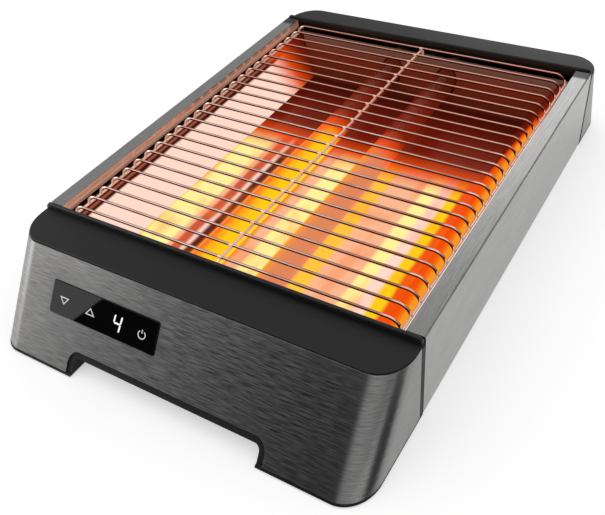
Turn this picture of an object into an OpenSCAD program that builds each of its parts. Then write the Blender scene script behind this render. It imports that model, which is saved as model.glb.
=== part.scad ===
// Flat toaster: a low steel body with a wire rack over two quartz heaters and a pull-out crumb tray.
// Millimetres, +Z up, control panel towards -Y, origin on the table under the middle of the body.

/* [Body] */
// Overall width across the side panels
body_w = 250; // [244:1:300]
// Distance from the front seam to the rear seam, which the side panels fill
well_len = 278; // [240:1:330]
// Height of the side flanges above the table
panel_top = 60; // [58:0.5:66]
// Gap between the side panels and the table
panel_gap = 2; // [1.5:0.5:4]
// Thickness of the steel sheet
sheet = 0.8; // [0.6:0.1:1]
// Width of the flat flange on top of a side panel
flange_w = 10.6; // [8:0.2:12]
// Depth of the lip that turns down from the flange
lip_h = 7; // [4:0.5:9]
// Outer radius of the fold between the flange and the side
fold_r = 1.6; // [1.2:0.1:3]
// Width of the return at the bottom of a side panel
return_w = 7; // [4:0.5:10]
// Height of the inside of the housing floors above the table
floor_top = 15; // [14.5:0.5:16]
// Thickness of the housing floors
floor_t = 2; // [1.6:0.1:2.4]
// Depth of the flanges that turn down from the base plate
base_flange_h = 9; // [6:0.5:11]
// Width of the tabs of the base plate inside the housings
base_tab_w = 190; // [180:1:200]
// Reach of those tabs past the seams
base_tab_d = 10; // [8:0.5:11]
// Number of vents in each row of the base plate
vent_count = 9; // [5:1:12]
// Length of a vent
vent_len = 26; // [15:1:40]
// Width of a vent
vent_w = 4; // [3:0.5:6]
// Distance between vents
vent_pitch = 18; // [10:1:18]
// Distance of each row of vents from the middle
vent_row_y = 50; // [30:1:70]

/* [Ends] */
// Height of the flat top of the end caps
cap_top = 57.4; // [56.4:0.1:58]
// Thickness of an end cap
cap_t = 2.5; // [2:0.1:3]
// Height of the edge of a cap above the steel cover
cap_edge = 0.9; // [0.7:0.1:1.4]
// Depth of the front cap, from the seam to its outer edge
front_cap_d = 29.3; // [28:0.1:34]
// Lean of the front face, from the vertical
front_lean = 35.2; // [33:0.1:38]
// Radius of the front corners
front_corner_r = 17.5; // [13:0.5:19]
// Depth of the rear cap, from the seam to its outer edge
rear_cap_d = 26.8; // [26.4:0.1:30]
// Lean of the rear face, from the vertical
rear_lean = 22.8; // [18:0.1:26]
// Radius of the rear corners
rear_corner_r = 19.5; // [14:0.5:19.5]
// Gap between the seam and the bead of a cap
bead_inset = 0.7; // [0.5:0.1:1]
// Width of the bead along the inner edge of a cap
bead_w = 2.6; // [2:0.1:4]
// Height of the bead above the flat of the cap
bead_h = 4.1; // [3.4:0.1:5]
// Distance of the ends of the bead from the sides
bead_end = 0.4; // [0.3:0.1:1]
// Width of the tabs that hold a cap
cap_tab_w = 14; // [10:1:20]
// Depth of those tabs
cap_tab_h = 5; // [4:0.5:6]
// Distance of those tabs from the middle
cap_tab_x = 98; // [96:1:99]
// Thickness of the plastic walls
wall = 2.2; // [1.8:0.1:2.6]
// Width of the plastic strip that shows at a seam
seam_strip = 4; // [3:0.1:4.6]
// Height of the plastic rim below a steel cover
rim_h = 1.2; // [0.8:0.1:2]
// Half width of the gap between the feet
arch_half = 68; // [50:1:78]
// Distance from the edge of a cap down the front face to the top of the gap between the feet
arch_drop = 52.8; // [51.6:0.1:54]
// Radius of the upper corners of that gap
arch_r = 7.5; // [5:0.5:8]
// Width of the plastic border that shows inside the gap
arch_border = 4; // [2:0.1:4.4]
// Depth of the walls beside the front gap
front_foot_wall = 14; // [8:0.5:14]
// Depth of the walls beside the rear gap
rear_foot_wall = 8; // [6:0.5:8]

/* [Control panel] */
// Length of the glass panel
glass_w = 78; // [74:0.5:84]
// Height of the glass panel along the slope
glass_h = 19.2; // [18:0.2:21]
// Thickness of the glass panel
glass_t = 1.3; // [1.1:0.1:1.6]
// Corner radius of the glass panel
glass_r = 1.2; // [1:0.2:3]
// Middle of the glass panel, sideways
glass_x = -49; // [-52:0.5:-48]
// Middle of the glass panel, down the slope from the edge of the cap
glass_s = 26.7; // [25.5:0.1:27.5]
// Overlap of the housing behind the edge of the glass
window_border = 2.4; // [2:0.1:3]
// Distance from the middle of the panel to the down key
down_key_x = -29.3; // [-31:0.1:-28]
// Distance from the middle of the panel to the up key
up_key_x = -9.2; // [-12:0.1:-8]
// Distance from the middle of the panel to the display
display_x = 11; // [9:0.5:13]
// Distance from the middle of the panel to the power key
power_key_x = 28.7; // [28:0.1:30]
// Diameter of the contact pad of a key
key_d = 8; // [6:0.5:9]
// Width of the display
display_w = 14; // [10:0.5:16]
// Height of the display
display_h = 11.6; // [10:0.2:12]
// Depth of the panel board behind the front face
panel_board_depth = 9; // [8:0.5:10]
// Width of the panel board
panel_board_w = 80; // [77:1:84]
// Height of the panel board
panel_board_h = 28; // [27:0.5:30]
// Sideways distance of the panel board's screws
panel_post_x = 34; // [32:0.5:36]
// Distance of those screws up and down the slope
panel_post_y = 11; // [10.6:0.1:11.4]

/* [Heaters] */
// Outer diameter of a quartz tube
tube_d = 17; // [14:0.5:17.5]
// Wall of a quartz tube
tube_wall = 1.2; // [1:0.1:1.6]
// Distance of a quartz tube from the middle of the body
tube_x = 22.5; // [20:0.5:26]
// Height of the middle of a quartz tube
tube_z = 38.5; // [38.25:0.25:39.5]
// Room round a quartz tube where it passes an end reflector
tube_room = 1; // [0.5:0.1:2]
// Diameter of the heating element inside a tube
element_d = 9; // [6:0.5:10]
// Diameter of the leads of a heating element
lead_d = 3; // [2:0.2:3.6]
// Reach of those leads past the seams
lead_reach = 14; // [12:0.5:14]
// Wall of a ceramic tube holder
holder_wall = 2; // [1.6:0.1:2.2]
// Overhang of the flange of a tube holder
holder_flange = 1.5; // [1:0.1:2]
// Thickness of that flange
holder_flange_t = 2; // [1.5:0.1:2.5]
// Reach of a tube holder past the seam
holder_out = 7; // [6:0.5:9]
// Reach of a tube holder into the well
holder_in = 3; // [2:0.5:5]
// Thickness of the closed end of a tube holder
holder_end_t = 2.6; // [2:0.1:3.5]
// Hole for the lead in that end
lead_hole = 4.4; // [4:0.1:5]
// Distance of the end plates from the seams
plate_y = 0.5; // [0.4:0.1:0.8]
// Overlap of the end plates past the lips of the side panels
plate_over = 3; // [2:0.2:3.4]
// Reach of the feet of the end plates past the seams
plate_foot_d = 7.5; // [7:0.5:8]
// Height of the lower edge of the reflectors
pan_low = 25; // [24.6:0.2:26]
// How far a reflector slopes in from its rim to its lower edge
pan_run = 18; // [14:0.5:20]
// Width of the flat rims of the reflectors
rim_w = 6; // [5:0.2:6.4]
// Overhang of the rim of a side reflector outside the rack rail
rim_over = 1; // [0.5:0.1:1.5]
// Height of the lower edge of the side shields above the tray slot
shield_clear = 3; // [2:0.5:5]

/* [Rack] */
// Number of cross wires
wire_count = 25; // [15:1:27]
// Diameter of a cross wire
wire_d = 2; // [1.6:0.1:2.4]
// Diameter of the side rails and the middle rod
rail_d = 2; // [1.6:0.1:2.4]
// How far the side rails lie below the cross wires
rack_drop = 7; // [6.4:0.2:7.6]
// Radius of the bend at the ends of a cross wire
bend_r = 5; // [3:0.2:5.4]
// Angle of that bend
bend_angle = 75; // [60:1:80]
// Gap between a side rail and the lip of the side panel
rack_side_gap = 3.4; // [2:0.1:5]
// Distance of the first and last cross wires from the seams
wire_end = 6.7; // [6:0.1:12]
// Overhang of the side rails past the first and last cross wires
rail_over = 2; // [1.4:0.1:3]
// Place of the loose rack between the seams, towards the rear
rack_shift = -1.5; // [-1.6:0.1:1.6]
// Distance of the ends of the middle rod from the seams
rod_end = 3.6; // [3:0.1:4.4]
// Radius of the bends of the middle rod
rod_bend_r = 3; // [2:0.1:4]

/* [Crumb tray] */
// Depth of the crumb tray
tray_h = 5.4; // [4.4:0.2:5.6]
// Margin of the tray outside the lower edge of the reflectors
tray_margin = 9; // [7:0.5:11]
// Depth of the tray's front, from the side panel inwards
tray_front_d = 4; // [3:0.2:5]
// Width of the finger notch in the tray's front
notch_w = 50; // [30:1:80]
// Height of the guides under the tray
guide_h = 2; // [1.6:0.1:2.4]
// Width of the guides under the tray
guide_w = 5; // [4:0.5:7]
// Thickness of the guides' upright sides
guide_wall = 1; // [0.8:0.1:1.5]
// Gap between the guides and the left side panel
guide_end_gap = 3; // [2:0.5:5]

/* [Feet, inlet and screws] */
// Height of the rubber feet below the housings
foot_h = 1; // [0.8:0.1:1.6]
// Diameter of a rubber foot
foot_d = 13; // [10:0.5:14]
// Diameter of the stem of a rubber foot
foot_stem_d = 5; // [4:0.2:6]
// Length of that stem
foot_stem_h = 4; // [3:0.5:6]
// Wall of the post round a rubber foot
foot_post_wall = 2; // [1.5:0.1:2.5]
// Distance of the rubber feet from the middle of the body
foot_x = 92; // [88:1:98]
// Distance of the front feet from the front seam
front_foot_y = 38; // [34:1:42]
// Distance of the rear feet from the rear seam
rear_foot_y = 27; // [22:1:30]
// Bore of the cable inlet
inlet_bore = 8; // [6:0.5:9]
// Wall of the cable inlet
inlet_wall = 2.4; // [2:0.1:3]
// Length of the cable inlet inside the rear face
inlet_len = 12; // [8:0.5:13]
// Overhang of the flange of the cable inlet
inlet_flange = 3; // [2:0.2:4]
// Thickness of that flange
inlet_flange_t = 2.4; // [2:0.1:3]
// Distance of the cable inlet from the middle of the body
inlet_x = 55; // [40:1:57]
// Distance of the cable inlet down the slope from the edge of the rear cap
inlet_s = 22; // [19:0.5:24]
// Shank diameter of the base screws
screw_d = 3; // [2.5:0.1:3.4]
// Diameter of the heads of the base screws
screw_head_d = 5.6; // [5:0.1:6.4]
// Height of all screw heads
screw_head_h = 2; // [1.6:0.1:2.4]
// Distance of the inner base screws from the middle
screw_inner_x = 40; // [38:1:42]
// Distance of the outer base screws from the middle
screw_outer_x = 82; // [78:1:86]
// Distance of the base screws from the seams
screw_y = 4; // [3.6:0.1:4.4]

/* [Electrics] */
// Thickness of the circuit boards
board_t = 1.6; // [1.2:0.1:2]
// Height of the power board above the table
board_z = 20; // [19:0.5:21]
// Middle of the power board, sideways
board_x = 55; // [53:1:57]
// Distance of the middle of the power board from the front seam
board_y = 27; // [26.5:0.5:28]
// Width of the power board
board_w = 96; // [94:1:100]
// Depth of the power board
board_d = 30; // [28:0.5:30]
// Diameter of the screw posts of the boards
post_d = 6; // [5:0.2:6.4]
// Distance of those posts from the edges of the power board
post_edge = 4; // [3.6:0.2:5]
// Shank diameter of the board screws
board_screw_d = 2.4; // [2:0.1:2.8]
// Length of the board screws in their posts
board_screw_grip = 3; // [2:0.2:3.4]
// Width of the relay
relay_w = 17; // [14:0.5:19]
// Depth of the relay
relay_d = 13; // [10:0.5:13]
// Height of the relay
relay_h = 15; // [12:0.5:15]
// Width of the transformer
transformer_w = 24; // [18:0.5:26]
// Depth of the transformer
transformer_d = 18; // [14:0.5:18]
// Height of the transformer
transformer_h = 17; // [12:0.5:17]
// Diameter of the filter capacitor
capacitor_d = 10; // [8:0.5:12]
// Height of the filter capacitor
capacitor_h = 16; // [12:0.5:18]
// Width of the terminal block
terminal_w = 26; // [20:0.5:28]
// Depth of the terminal block
terminal_d = 12; // [9:0.5:13]
// Height of the terminal block
terminal_h = 13; // [11.5:0.5:14]
// Width of the thermal fuse
fuse_w = 16; // [12:0.5:18]
// Depth of the thermal fuse
fuse_d = 6; // [4:0.5:6]
// Height of the thermal fuse
fuse_h = 8; // [6:0.5:10]
// Distance from the rear seam to the far side of the thermal fuse
fuse_out = 20; // [18:0.5:22]
// Diameter of the heat sensor
sensor_d = 5; // [4:0.2:6]
// Reach of the heat sensor past the front end plate, both ways
sensor_reach = 8; // [6:0.5:10]
// Diameter of the heater leads
lead_wire_d = 2.4; // [1.6:0.1:2.6]
// Length of the crimps that join them to the heating elements
crimp_len = 6; // [4:0.5:8]
// Diameter of the mains loom
loom_d = 3; // [2.6:0.1:3.2]
// Height of the mains loom
loom_z = 24; // [23:0.5:26]

/* [Hidden] */
$fn = 48;
// Gaps between seated round faces, between neighbours, and between sliding pieces
seat_gap = 0.1;
side_gap = 0.3;
slide_gap = 0.4;
// Overshoot of cuts, overlap of fused features, reach of open-ended shapes
cut = 1;
fuse_in = 0.4;
far = 600;
// Swell of an insulated wire at its turns
turn_joint = 1.5;
// Corners round a cross wire and steps in each of its bends
wire_sides = 8;
wire_steps = 4;

half_w = body_w / 2;
// Depth of an end at the table, from its seam
function end_depth(end) = end[1] + (cap_top - foot_h) * tan(end[0]);

front_end = [front_lean, front_cap_d, front_corner_r];
rear_end = [rear_lean, rear_cap_d, rear_corner_r];
front_foot = [front_foot_y, front_foot_wall];
rear_foot = [rear_foot_y, rear_foot_wall];
front_depth = end_depth(front_end);
rear_depth = end_depth(rear_end);
front_seam = (front_depth - rear_depth - well_len) / 2;
rear_seam = front_seam + well_len;

cap_under = cap_top - cap_t;
cover_top = cap_top - cap_edge;
skin_inset = sheet + seat_gap;
shell_inset = skin_inset + wall;
rim_top = foot_h + rim_h;
arch_top = cap_top - arch_drop * cos(front_lean);

lip_x = half_w - flange_w;
base_top = floor_top + sheet;
plate_half = lip_x + plate_over;
screw_xs = [-screw_outer_x, -screw_inner_x, screw_inner_x, screw_outer_x];
screw_hole = screw_d + 2 * seat_gap;

wire_z = panel_top - wire_d / 2;
rail_x = lip_x - rack_side_gap - rail_d / 2;
rail_z = wire_z - rack_drop;
leg_l = (rack_drop - bend_r * (1 - cos(bend_angle))) / sin(bend_angle);
bend_x = rail_x - bend_r * sin(bend_angle) - leg_l * cos(bend_angle);
// Points along a cross wire in X and Z, with the lean of the wire at each
wire_bend = [for (i = [0 : wire_steps]) let (lean = bend_angle * i / wire_steps)
    [bend_x + bend_r * sin(lean), wire_z - bend_r * (1 - cos(lean)), lean]];
wire_half = concat(wire_bend, [[rail_x, rail_z, bend_angle]]);
wire_path = concat([for (i = [len(wire_half) - 1 : -1 : 0])
    [-wire_half[i][0], wire_half[i][1], -wire_half[i][2]]], wire_half);
wire_pitch = (well_len - 2 * wire_end) / (wire_count - 1);
rail_end = wire_end - rail_over;

hem_z = rail_z - rail_d / 2 - side_gap;
plate_top = hem_z - sheet;
rim_out = rail_x + rail_d / 2 + rim_over;
rim_x = rim_out - rim_w;
end_rim_in = plate_y + rim_w;
pan_rise = hem_z - pan_low;
pan_low_x = rim_x - pan_run;
pan_low_y = end_rim_in + pan_run;
slope_t = sheet * norm([pan_run, pan_rise]) / pan_rise;
mitre = rim_x + end_rim_in;
mitre_d = pan_low_y + cut;

rod_z = wire_z - (wire_d + rail_d) / 2 + fuse_in;
rod_leg = rod_z - rod_bend_r - hem_z - side_gap;

holder_bore = tube_d + 2 * seat_gap;
holder_d = holder_bore + 2 * holder_wall;
tube_end = -holder_out + holder_end_t + seat_gap;

tray_low = base_top + guide_h + slide_gap;
tray_top = tray_low + tray_h;
tray_half = pan_low_x + tray_margin;
tray_y = pan_low_y - tray_margin;
slot_low = tray_low - slide_gap;
slot_high = tray_top + slide_gap;
guide_left = half_w - 2 * sheet - guide_end_gap;
shield_low = slot_high + shield_clear;

inlet_d = inlet_bore + 2 * inlet_wall;
inlet_hole = inlet_d + 2 * seat_gap;
key_xs = [down_key_x, up_key_x, power_key_x];
window_r = glass_r / 2;

board_top = board_z + board_t;
board_hole = board_screw_d + 2 * seat_gap;
board_posts = [for (x = [-1, 1], y = [-1, 1])
    [board_x + x * (board_w / 2 - post_edge), -board_y + y * (board_d / 2 - post_edge)]];
panel_posts = [for (x = [-1, 1], y = [-1, 1]) [x * panel_post_x, y * panel_post_y]];
board_inner = board_w / 2 - post_edge - post_d / 2 - side_gap;
relay_x = [board_x - board_inner, board_x - board_inner + relay_w];
relay_y = [-lead_reach - side_gap - relay_d, -lead_reach - side_gap];
transformer_x = [board_x + board_inner - transformer_w, board_x + board_inner];
transformer_y = [-board_y - transformer_d / 2, -board_y + transformer_d / 2];
terminal_x = [inlet_x + inlet_d, inlet_x + inlet_d + terminal_w];
terminal_y = [-base_tab_d - side_gap - terminal_d, -base_tab_d - side_gap];
loom_x = plate_half + side_gap + loom_d / 2;

// Places a piece that is drawn with the seam at y = 0 and the outside towards -Y
module at_front() {
    translate([0, front_seam, 0]) children();
}

module at_rear() {
    translate([0, rear_seam, 0]) mirror([0, 1, 0]) children();
}

module at_both_ends() {
    at_front() children();
    at_rear() children();
}

// Runs a drawing of X and Z along Y
module along_y(from, to) {
    translate([0, to, 0]) rotate([90, 0, 0]) linear_extrude(to - from) children();
}

// Runs a drawing of Y and Z along X
module along_x(from, to) {
    translate([from, 0, 0]) rotate([90, 0, 90]) linear_extrude(to - from) children();
}

// A round bar along Y
module bar_y(d, from, to) {
    translate([0, from, 0]) rotate([-90, 0, 0]) cylinder(d = d, h = to - from);
}

// A block given by its ranges in X, Y and Z
module block(x, y, z) {
    translate([x[0], y[0], z[0]]) cube([x[1] - x[0], y[1] - y[0], z[1] - z[0]]);
}

module rounded_plate(w, h, r) {
    square([w - 2 * r, h], center = true);
    square([w, h - 2 * r], center = true);
    for (x = [-1, 1], y = [-1, 1]) translate([x * (w / 2 - r), y * (h / 2 - r)]) circle(r);
}

// An insulated wire through a list of points
module wire_run(points, d) {
    for (i = [0 : len(points) - 2]) {
        step = points[i + 1] - points[i];
        translate(points[i]) rotate([0, acos(step[2] / norm(step)), atan2(step[1], step[0])])
            cylinder(d = d, h = norm(step));
    }
    for (i = [1 : 1 : len(points) - 2]) translate(points[i]) sphere(d = d * turn_joint);
}

// Section of an end body, square to its leaning face
module end_profile(inset, corner_r) {
    r = corner_r - inset;
    edge = half_w - inset;
    translate([-edge, corner_r]) square([2 * edge, far]);
    translate([-edge + r, inset]) square([2 * (edge - r), corner_r]);
    for (side = [-1, 1]) translate([side * (edge - r), corner_r]) circle(r);
}

// The part of an end body between two heights and two distances from the seam
module end_body(end, inset, low, high, near, reach = far) {
    intersection() {
        translate([0, -end[1], cap_top]) rotate([-end[0], 0, 0])
            linear_extrude(far, center = true) end_profile(inset, end[2]);
        block([-body_w, body_w], [-reach, -near], [low, high]);
    }
}

// Puts a flat piece on a leaning face: local Z points out of the face and local Y up the slope
module on_face(end, x, s) {
    translate([x, -end[1] - s * sin(end[0]), cap_top - s * cos(end[0])])
        rotate([90 - end[0], 0, 0]) children();
}

// The gap between the feet
module arch_cut(border) {
    half = arch_half - border;
    top = arch_top - border;
    r = arch_r - border;
    along_y(-far, -seam_strip - wall) {
        translate([-half, -cut]) square([2 * half, top - r + cut]);
        translate([-half + r, -cut]) square([2 * (half - r), top + cut]);
        for (side = [-1, 1]) translate([side * (half - r), top - r]) circle(r);
    }
}

// Steel skin round an end
module end_cover(end) {
    low = rim_top + seat_gap;
    high = cover_top - seat_gap;
    difference() {
        end_body(end, 0, low, high, seam_strip + seat_gap);
        end_body(end, sheet, low - cut, high + cut, -cut);
        arch_cut(0);
    }
}

// Plastic cap of an end, with its bead along the well and two tabs that hold it in the housing
module end_cap(end) {
    round_r = bead_w / 2;
    rise = bead_h + fuse_in - round_r;
    middle = cap_top - cap_edge / 2;
    end_body(end, 0, cover_top, cap_top, bead_inset);
    end_body(end, skin_inset, cap_under, middle, bead_inset);
    end_body(end, 0, cap_under, middle, bead_inset, seam_strip);
    along_x(-half_w + bead_end, half_w - bead_end) translate([-bead_inset - bead_w, cap_top - fuse_in]) {
        square([bead_w, rise]);
        translate([round_r, rise]) circle(round_r);
    }
    for (side = [-1, 1]) translate([side * cap_tab_x, -end[1] + shell_inset, 0])
        block([-cap_tab_w / 2, cap_tab_w / 2], [0, wall], [cap_under - cap_tab_h, cap_under + cap_t / 2]);
}

// Plastic shell of an end: wall, floor, seam strip, bottom rim, walls beside the gap and posts for the feet
module end_housing(end, foot) {
    high = cap_under - seat_gap;
    post_y = -foot[0];
    gap_half = arch_half - arch_border;
    difference() {
        union() {
            end_body(end, skin_inset, foot_h, high, side_gap);
            end_body(end, 0, foot_h, high, side_gap, seam_strip);
            end_body(end, 0, foot_h, rim_top, side_gap);
        }
        difference() {
            end_body(end, shell_inset, 0, high + cut, -cut);
            block([-body_w, body_w], [-far, -side_gap], [floor_top - floor_t, floor_top]);
            for (side = [-1, 1]) translate([side * foot_x, post_y, foot_h])
                cylinder(d = foot_d + 2 * foot_post_wall, h = floor_top - foot_h);
            for (x = [-gap_half - wall, gap_half - fuse_in])
                block([x, x + wall + fuse_in], [-far, foot[1] - end_depth(end)], [0, floor_top - floor_t / 2]);
        }
        arch_cut(arch_border);
        for (x = screw_xs) translate([x, -screw_y, 0]) cylinder(d = screw_hole, h = floor_top + cut);
        for (side = [-1, 1]) translate([side * foot_x, post_y, 0])
            cylinder(d = foot_stem_d + 2 * seat_gap, h = foot_h + foot_stem_h + seat_gap);
    }
}

// Sheet side with its folded flange, lip and return
module side_profile() {
    intersection() {
        union() {
            translate([half_w - sheet, panel_gap]) square([sheet, panel_top - panel_gap]);
            translate([lip_x, panel_top - sheet]) square([flange_w, sheet]);
            translate([lip_x, panel_top - lip_h]) square([sheet, lip_h]);
            translate([half_w - return_w, panel_gap]) square([return_w, sheet]);
            translate([half_w - fold_r, panel_top - fold_r]) square(fold_r);
        }
        union() {
            square([half_w - fold_r, panel_top]);
            square([half_w, panel_top - fold_r]);
            translate([half_w - fold_r, panel_top - fold_r]) circle(fold_r);
        }
    }
}

module side_panel_right() {
    color("silver") along_y(front_seam + side_gap, rear_seam - side_gap) side_profile();
}

module side_panel_left() {
    color("silver") difference() {
        mirror([1, 0, 0]) along_y(front_seam + side_gap, rear_seam - side_gap) side_profile();
        block([-half_w - cut, -half_w + sheet + cut],
            [front_seam + tray_y - slide_gap, rear_seam - tray_y + slide_gap], [slot_low, slot_high]);
    }
}

module base_plate() {
    inner = half_w - sheet;
    color("gainsboro") difference() {
        union() {
            along_y(front_seam + side_gap, rear_seam - side_gap) {
                translate([-inner, floor_top]) square([2 * inner, sheet]);
                for (x = [-inner, inner - sheet]) translate([x, base_top - base_flange_h])
                    square([sheet, base_flange_h]);
            }
            block([-base_tab_w / 2, base_tab_w / 2], [front_seam - base_tab_d, rear_seam + base_tab_d],
                [floor_top, base_top]);
        }
        at_both_ends() for (x = screw_xs) translate([x, -screw_y, 0])
            cylinder(d = screw_hole, h = base_top + cut);
        for (i = [0 : vent_count - 1], row = [-1, 1]) translate([(i - (vent_count - 1) / 2) * vent_pitch,
            (front_seam + rear_seam) / 2 + row * vent_row_y, 0])
            linear_extrude(base_top + cut) rounded_plate(vent_w, vent_len, vent_w / 2 - seat_gap);
    }
}

// Post for a board screw, rooted in the wall behind it
module screw_post(h) {
    difference() {
        cylinder(d = post_d, h = h + fuse_in);
        translate([0, 0, -cut]) cylinder(d = board_hole, h = h + cut);
    }
}

module front_housing() {
    color([0.12, 0.12, 0.12]) at_front() {
        difference() {
            end_housing(front_end, front_foot);
            on_face(front_end, glass_x, glass_s) translate([0, 0, -shell_inset - cut])
                linear_extrude(shell_inset + cut)
                rounded_plate(glass_w - 2 * window_border, glass_h - 2 * window_border, window_r);
        }
        for (p = board_posts) translate([p[0], p[1], board_z]) mirror([0, 0, 1])
            screw_post(board_z - floor_top);
        on_face(front_end, glass_x, glass_s) for (p = panel_posts) translate([p[0], p[1], -panel_board_depth])
            screw_post(panel_board_depth - shell_inset);
    }
}

module front_cover() {
    color("darkgray") at_front() difference() {
        end_cover(front_end);
        on_face(front_end, glass_x, glass_s) translate([0, 0, -sheet - cut]) linear_extrude(sheet + 2 * cut)
            rounded_plate(glass_w + 2 * side_gap, glass_h + 2 * side_gap, glass_r + side_gap);
    }
}

module front_cap() {
    color([0.14, 0.14, 0.14]) at_front() end_cap(front_end);
}

module rear_housing() {
    color([0.12, 0.12, 0.12]) at_rear() difference() {
        end_housing(rear_end, rear_foot);
        on_face(rear_end, inlet_x, inlet_s) translate([0, 0, -inlet_len])
            cylinder(d = inlet_hole, h = inlet_len);
    }
}

module rear_cover() {
    color("darkgray") at_rear() difference() {
        end_cover(rear_end);
        on_face(rear_end, inlet_x, inlet_s) translate([0, 0, -sheet - cut])
            cylinder(d = inlet_hole, h = sheet + 2 * cut);
    }
}

module rear_cap() {
    color([0.14, 0.14, 0.14]) at_rear() end_cap(rear_end);
}

// Upright plate that closes the well at an end and carries the tube holders
module end_plate(sensor_hole) {
    difference() {
        union() {
            block([-plate_half, plate_half], [plate_y, plate_y + sheet], [base_top, plate_top]);
            block([-base_tab_w / 2, base_tab_w / 2], [-plate_foot_d, plate_y + sheet],
                [base_top, base_top + sheet]);
        }
        for (side = [-1, 1]) translate([side * tube_x, 0, tube_z])
            bar_y(holder_d + 2 * seat_gap, -plate_foot_d, plate_foot_d);
        if (sensor_hole) translate([0, 0, tube_z])
            bar_y(sensor_d + 2 * seat_gap, -plate_foot_d, plate_foot_d);
        for (x = screw_xs) translate([x, -screw_y, 0]) cylinder(d = screw_hole, h = floor_top + plate_foot_d);
    }
}

module front_end_plate() {
    color("lightgray") at_front() end_plate(true);
}

module rear_end_plate() {
    color("lightgray") at_rear() end_plate(false);
}

module side_shield_right() {
    color("lightgray") block([plate_half - sheet, plate_half],
        [front_seam + plate_y + sheet, rear_seam - plate_y - sheet], [shield_low, plate_top - sheet]);
}

module side_shield_left() {
    color("lightgray") mirror([1, 0, 0]) block([plate_half - sheet, plate_half],
        [front_seam + plate_y + sheet, rear_seam - plate_y - sheet], [shield_low, plate_top - sheet]);
}

// Section of a reflector: flat rim, then the slope, which runs towards -X down to the lower edge
module reflector_profile(rim) {
    bend = slope_t - sheet * pan_run / pan_rise;
    polygon([[rim, hem_z], [0, hem_z], [-pan_run, pan_low], [-pan_run + slope_t, pan_low],
        [bend, hem_z - sheet], [rim, hem_z - sheet]]);
}

// Reflector along the right side, mitred where it meets the end reflectors
module side_reflector() {
    intersection() {
        along_y(front_seam, rear_seam) translate([rim_x, 0]) reflector_profile(rim_w);
        translate([mitre + seat_gap, front_seam, 0]) linear_extrude(panel_top)
            polygon([[-mitre_d, mitre_d], [0, 0], [0, well_len], [-mitre_d, well_len - mitre_d]]);
    }
}

module side_reflector_right() {
    color("orange") side_reflector();
}

module side_reflector_left() {
    color("orange") mirror([1, 0, 0]) side_reflector();
}

// Reflector across an end, with room for the quartz tubes
module end_reflector() {
    difference() {
        intersection() {
            along_x(-half_w, half_w) translate([end_rim_in, 0]) mirror([1, 0]) reflector_profile(rim_w);
            linear_extrude(panel_top) polygon([[-mitre, 0], [mitre, 0], [mitre - mitre_d, mitre_d],
                [-mitre + mitre_d, mitre_d]]);
        }
        for (side = [-1, 1]) translate([side * tube_x, 0, tube_z])
            bar_y(tube_d + 2 * tube_room, -cut, mitre_d + cut);
    }
}

module end_reflector_front() {
    color("orange") at_front() end_reflector();
}

module end_reflector_rear() {
    color("orange") at_rear() end_reflector();
}

module quartz_tube(side) {
    translate([side * tube_x, 0, tube_z]) difference() {
        bar_y(tube_d, front_seam + tube_end, rear_seam - tube_end);
        bar_y(tube_d - 2 * tube_wall, front_seam + tube_end - cut, rear_seam - tube_end + cut);
    }
}

module quartz_tube_left() {
    color("orangered") quartz_tube(-1);
}

module quartz_tube_right() {
    color("orangered") quartz_tube(1);
}

module heating_element(side) {
    translate([side * tube_x, 0, tube_z]) {
        bar_y(element_d, front_seam + holder_in, rear_seam - holder_in);
        bar_y(lead_d, front_seam - lead_reach, rear_seam + lead_reach);
    }
}

module heating_element_left() {
    color("gold") heating_element(-1);
}

module heating_element_right() {
    color("gold") heating_element(1);
}

// Four flanged ceramic bushes in the end plates
module tube_holders() {
    color("ivory") at_both_ends() for (side = [-1, 1]) translate([side * tube_x, 0, tube_z]) difference() {
        union() {
            bar_y(holder_d, -holder_out, holder_in);
            bar_y(holder_d + 2 * holder_flange, plate_y - holder_flange_t, plate_y);
        }
        bar_y(holder_bore, tube_end - seat_gap, holder_in + cut);
        bar_y(lead_hole, -holder_out - cut, holder_in);
    }
}

module touch_panel() {
    color([0.05, 0.05, 0.05]) at_front() on_face(front_end, glass_x, glass_s) translate([0, 0, -skin_inset])
        linear_extrude(glass_t) rounded_plate(glass_w, glass_h, glass_r);
}

module display_module() {
    color([0.3, 0.3, 0.3]) at_front() on_face(front_end, glass_x + display_x, glass_s)
        block([-display_w / 2, display_w / 2], [-display_h / 2, display_h / 2],
            [-panel_board_depth, -skin_inset]);
}

module key_pads() {
    color("goldenrod") at_front() for (x = key_xs) on_face(front_end, glass_x + x, glass_s)
        translate([0, 0, -panel_board_depth]) cylinder(d = key_d, h = panel_board_depth - skin_inset);
}

module panel_board() {
    color("darkgreen") at_front() on_face(front_end, glass_x, glass_s)
        translate([0, 0, -panel_board_depth - board_t]) linear_extrude(board_t) difference() {
            square([panel_board_w, panel_board_h], center = true);
            for (p = panel_posts) translate(p) circle(d = board_hole);
        }
}

module power_board() {
    color("darkgreen") at_front() translate([0, 0, board_z]) linear_extrude(board_t) difference() {
        translate([board_x, -board_y]) square([board_w, board_d], center = true);
        for (p = board_posts) translate(p) circle(d = board_hole);
    }
}

module switching_relay() {
    color("royalblue") at_front() block(relay_x, relay_y, [board_top, board_top + relay_h]);
}

module supply_transformer() {
    color("khaki") at_front() block(transformer_x, transformer_y, [board_top, board_top + transformer_h]);
}

module filter_capacitor() {
    color("navy") at_front() translate([board_x, -board_y, board_top])
        cylinder(d = capacitor_d, h = capacitor_h);
}

module terminal_block() {
    color("ivory") at_rear() block(terminal_x, terminal_y, [floor_top, floor_top + terminal_h]);
}

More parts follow.
